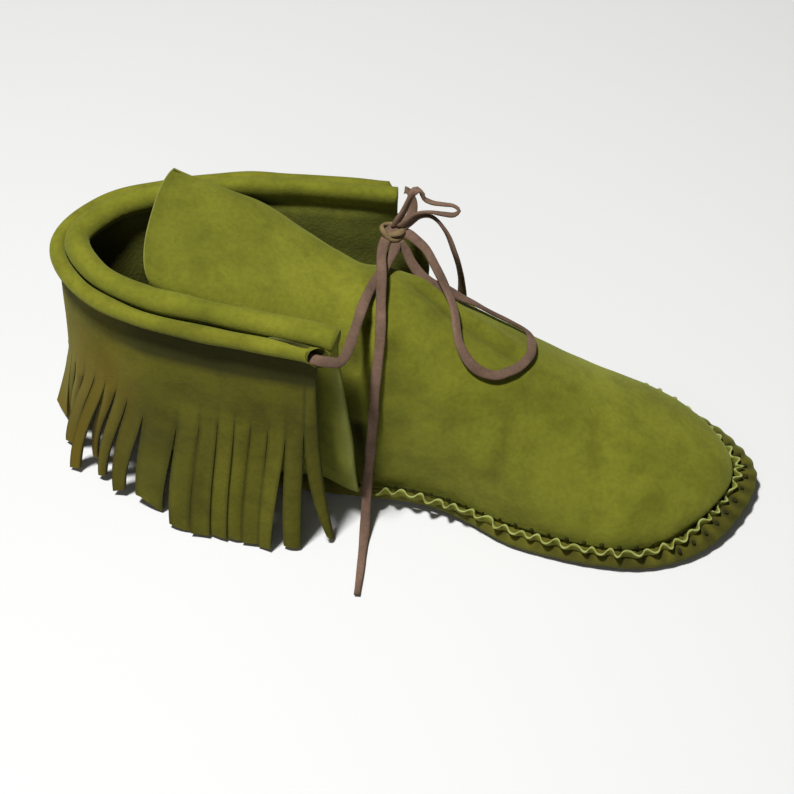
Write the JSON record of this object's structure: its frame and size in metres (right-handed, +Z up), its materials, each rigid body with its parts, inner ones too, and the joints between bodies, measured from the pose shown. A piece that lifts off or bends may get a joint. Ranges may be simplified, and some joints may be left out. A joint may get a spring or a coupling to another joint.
{
  "type": "fringed moccasin boot",
  "caption": "Ankle-high soft suede moccasin boot, left foot: gathered seam round the toe, rolled collar, long fringe from the collar to the floor and a flat thong tied in a bow.",
  "frame": {"origin": "on the floor under the middle of the heel", "axes": "+X from heel to toe, +Y to the boot's left (its outer side), +Z up"},
  "size_m": [0.2963, 0.1451, 0.1315],
  "materials": {
    "sole_suede": "rough suede",
    "suede": "soft napped suede",
    "lining": "matt",
    "thong": "matt"
  },
  "bodies": {
    "root": {"sole": "sole_suede", "insole": "lining", "upper": "suede", "seam_ruffle": "suede", "cuff_fringe": "suede", "lace_bar": "thong", "lace_bar_outer": "thong", "lace_knot": "thong", "lace_loop_big": "thong", "lace_loop_small": "thong", "lace_end_long": "thong", "lace_end_short": "thong"}
  },
  "joints": []
}
